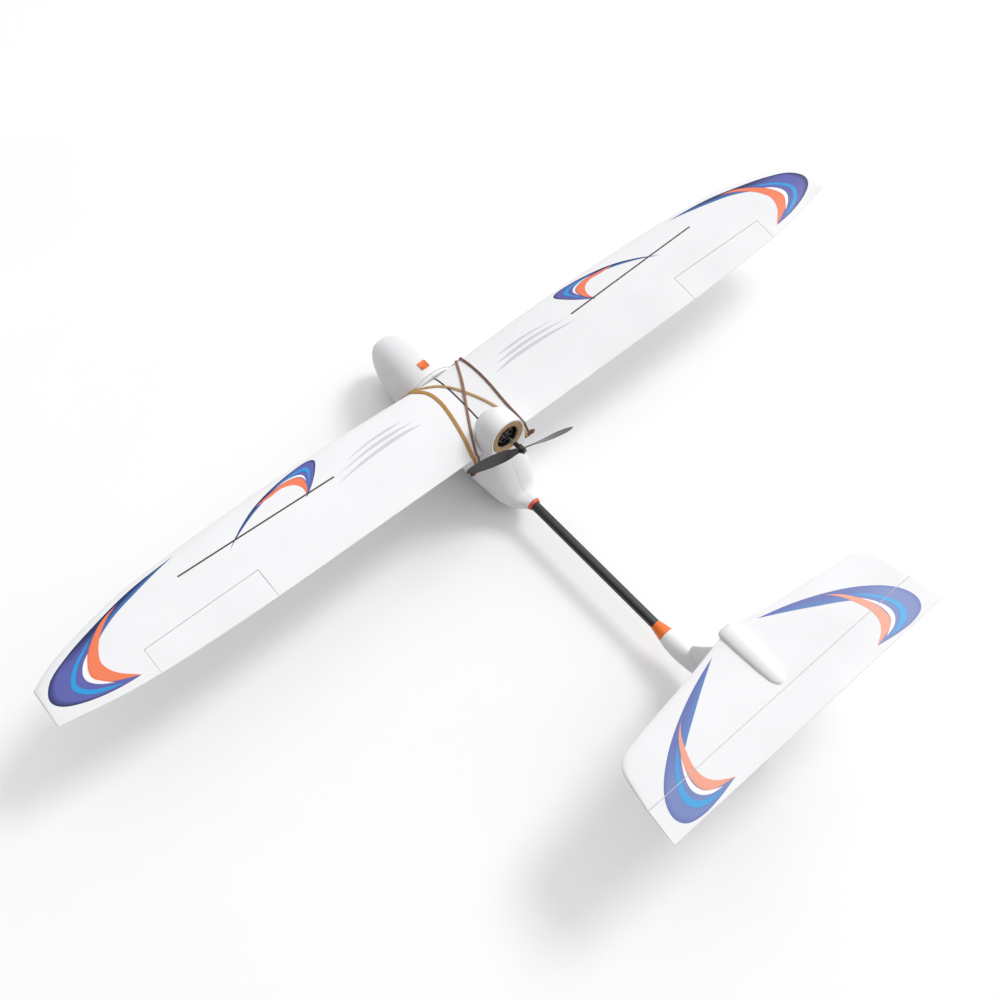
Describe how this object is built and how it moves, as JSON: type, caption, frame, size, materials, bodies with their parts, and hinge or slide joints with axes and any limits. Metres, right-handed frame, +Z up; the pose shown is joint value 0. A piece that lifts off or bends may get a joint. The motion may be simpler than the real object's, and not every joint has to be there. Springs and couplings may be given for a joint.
{
  "type": "rc glider",
  "caption": "Foam radio-controlled glider with a rubber-banded wing, pusher propeller above the pod, carbon boom and T-tail, all controls hinged and linked.",
  "frame": {"origin": "under the middle of the model's box, on the surface that its flat belly rests on", "axes": "+X towards the pilot's left wing tip, +Y towards the tail, +Z up"},
  "size_m": [1.88, 1.1837, 0.2785],
  "materials": {
    "battery_wrap": "satin",
    "black_plastic": "satin",
    "carbon": "satin",
    "copper": "satin",
    "foam": "satin",
    "horn_plastic": "satin",
    "motor_metal": "satin",
    "orange_plastic": "satin",
    "plywood": "matte",
    "rubber_band": "matte",
    "servo_case": "gloss",
    "steel": "satin",
    "strap": "matte"
  },
  "bodies": {
    "airframe": {"fuselage_left_shell": "foam", "fuselage_right_shell": "foam", "equipment_tray": "plywood", "battery": "battery_wrap", "battery_strap": "strap", "speed_controller": "black_plastic", "receiver": "black_plastic", "front_dowel": "carbon", "rear_dowel": "carbon", "boom_front_ring": "orange_plastic", "tail_boom": "carbon", "boom_rear_sleeve": "orange_plastic", "fin": "foam", "rudder_servo": "servo_case", "stabilizer": "foam", "elevator_servo": "servo_case", "wing_left": "foam", "wing_right": "foam", "wing_joiner": "carbon", "spar_strip_left": "carbon", "spar_strip_right": "carbon", "aileron_left_servo": "servo_case", "aileron_right_servo": "servo_case", "motor_pod": "foam", "motor_mount_ring": "plywood", "motor_base": "motor_metal", "motor_stator": "copper", "rubber_band_left": "rubber_band", "rubber_band_left_to_right": "rubber_band", "rubber_band_right_to_left": "rubber_band", "rubber_band_right": "rubber_band"},
    "hatch": {"canopy_hatch": "foam", "hatch_tab": "orange_plastic"},
    "rotor": {"motor_bell": "motor_metal", "motor_shaft": "steel", "prop_adapter": "motor_metal", "propeller": "black_plastic", "prop_nut": "black_plastic"},
    "left_aileron": {"aileron_left": "foam", "aileron_left_horn": "horn_plastic"},
    "left_aileron_arm": {"aileron_left_servo_arm": "horn_plastic"},
    "left_aileron_rod": {"aileron_left_pushrod": "steel"},
    "right_aileron": {"aileron_right": "foam", "aileron_right_horn": "horn_plastic"},
    "right_aileron_arm": {"aileron_right_servo_arm": "horn_plastic"},
    "right_aileron_rod": {"aileron_right_pushrod": "steel"},
    "elevator_surface": {"elevator": "foam", "elevator_horn": "horn_plastic"},
    "elevator_arm": {"elevator_servo_arm": "horn_plastic"},
    "elevator_rod": {"elevator_pushrod": "steel"},
    "rudder_surface": {"rudder": "foam", "rudder_horn": "horn_plastic"},
    "rudder_arm": {"rudder_servo_arm": "horn_plastic"},
    "rudder_rod": {"rudder_pushrod": "steel"}
  },
  "joints": [
    {"name": "hatch_hinge", "type": "hinge", "parent": "airframe", "child": "hatch", "pos_m": [0, -0.56978, 0.1105], "axis": [1, 0, 0], "range_deg": [0, 60]},
    {"name": "prop_spin", "type": "hinge", "parent": "airframe", "child": "rotor", "pos_m": [0, -0.161, 0.21], "axis": [0, 0.9945, 0.1045], "continuous": true},
    {"name": "left_aileron_hinge", "type": "hinge", "parent": "airframe", "child": "left_aileron", "pos_m": [0.64, -0.23352, 0.21436], "axis": [0.9977, 0.0338, 0.058], "range_deg": [-20, 20]},
    {"name": "left_aileron_arm_pivot", "type": "hinge", "parent": "airframe", "child": "left_aileron_arm", "pos_m": [0.64263, -0.29791, 0.20671], "axis": [0.9977, 0.0338, 0.058], "range_deg": [-20, 20]},
    {"name": "left_aileron_rod_pivot", "type": "hinge", "parent": "left_aileron_arm", "child": "left_aileron_rod", "pos_m": [0.64377, -0.29387, 0.18477], "axis": [0.9977, 0.0338, 0.058], "range_deg": [-20, 20]},
    {"name": "right_aileron_hinge", "type": "hinge", "parent": "airframe", "child": "right_aileron", "pos_m": [-0.64, -0.23352, 0.21436], "axis": [0.9977, -0.0338, -0.058], "range_deg": [-20, 20]},
    {"name": "right_aileron_arm_pivot", "type": "hinge", "parent": "airframe", "child": "right_aileron_arm", "pos_m": [-0.64263, -0.29791, 0.20671], "axis": [0.9977, -0.0338, -0.058], "range_deg": [-20, 20]},
    {"name": "right_aileron_rod_pivot", "type": "hinge", "parent": "right_aileron_arm", "child": "right_aileron_rod", "pos_m": [-0.64377, -0.29387, 0.18477], "axis": [0.9977, -0.0338, -0.058], "range_deg": [-20, 20]},
    {"name": "elevator_hinge", "type": "hinge", "parent": "airframe", "child": "elevator_surface", "pos_m": [0, 0.5335, 0.267], "axis": [1, 0, 0], "range_deg": [-20, 20]},
    {"name": "elevator_arm_pivot", "type": "hinge", "parent": "airframe", "child": "elevator_arm", "pos_m": [0.05, 0.47, 0.2555], "axis": [1, 0, 0], "range_deg": [-20, 20]},
    {"name": "elevator_rod_pivot", "type": "hinge", "parent": "elevator_arm", "child": "elevator_rod", "pos_m": [0.05, 0.474, 0.2355], "axis": [1, 0, 0], "range_deg": [-20, 20]},
    {"name": "rudder_hinge", "type": "hinge", "parent": "airframe", "child": "rudder_surface", "pos_m": [0, 0.488, 0.162], "axis": [0, 0, 1], "range_deg": [-25, 25]},
    {"name": "rudder_arm_pivot", "type": "hinge", "parent": "airframe", "child": "rudder_arm", "pos_m": [-0.0072, 0.445, 0.127], "axis": [0, 0, 1], "range_deg": [-25, 25]},
    {"name": "rudder_rod_pivot", "type": "hinge", "parent": "rudder_arm", "child": "rudder_rod", "pos_m": [-0.0252, 0.448, 0.127], "axis": [0, 0, 1], "range_deg": [-25, 25]}
  ],
  "couplings": [
    {"joint": "left_aileron_arm_pivot", "follows": "left_aileron_hinge", "ratio": 1},
    {"joint": "left_aileron_rod_pivot", "follows": "left_aileron_hinge", "ratio": -1},
    {"joint": "right_aileron_hinge", "follows": "left_aileron_hinge", "ratio": -1},
    {"joint": "right_aileron_arm_pivot", "follows": "left_aileron_hinge", "ratio": -1},
    {"joint": "right_aileron_rod_pivot", "follows": "left_aileron_hinge", "ratio": 1},
    {"joint": "elevator_arm_pivot", "follows": "elevator_hinge", "ratio": 1},
    {"joint": "elevator_rod_pivot", "follows": "elevator_hinge", "ratio": -1},
    {"joint": "rudder_arm_pivot", "follows": "rudder_hinge", "ratio": 1},
    {"joint": "rudder_rod_pivot", "follows": "rudder_hinge", "ratio": -1}
  ]
}
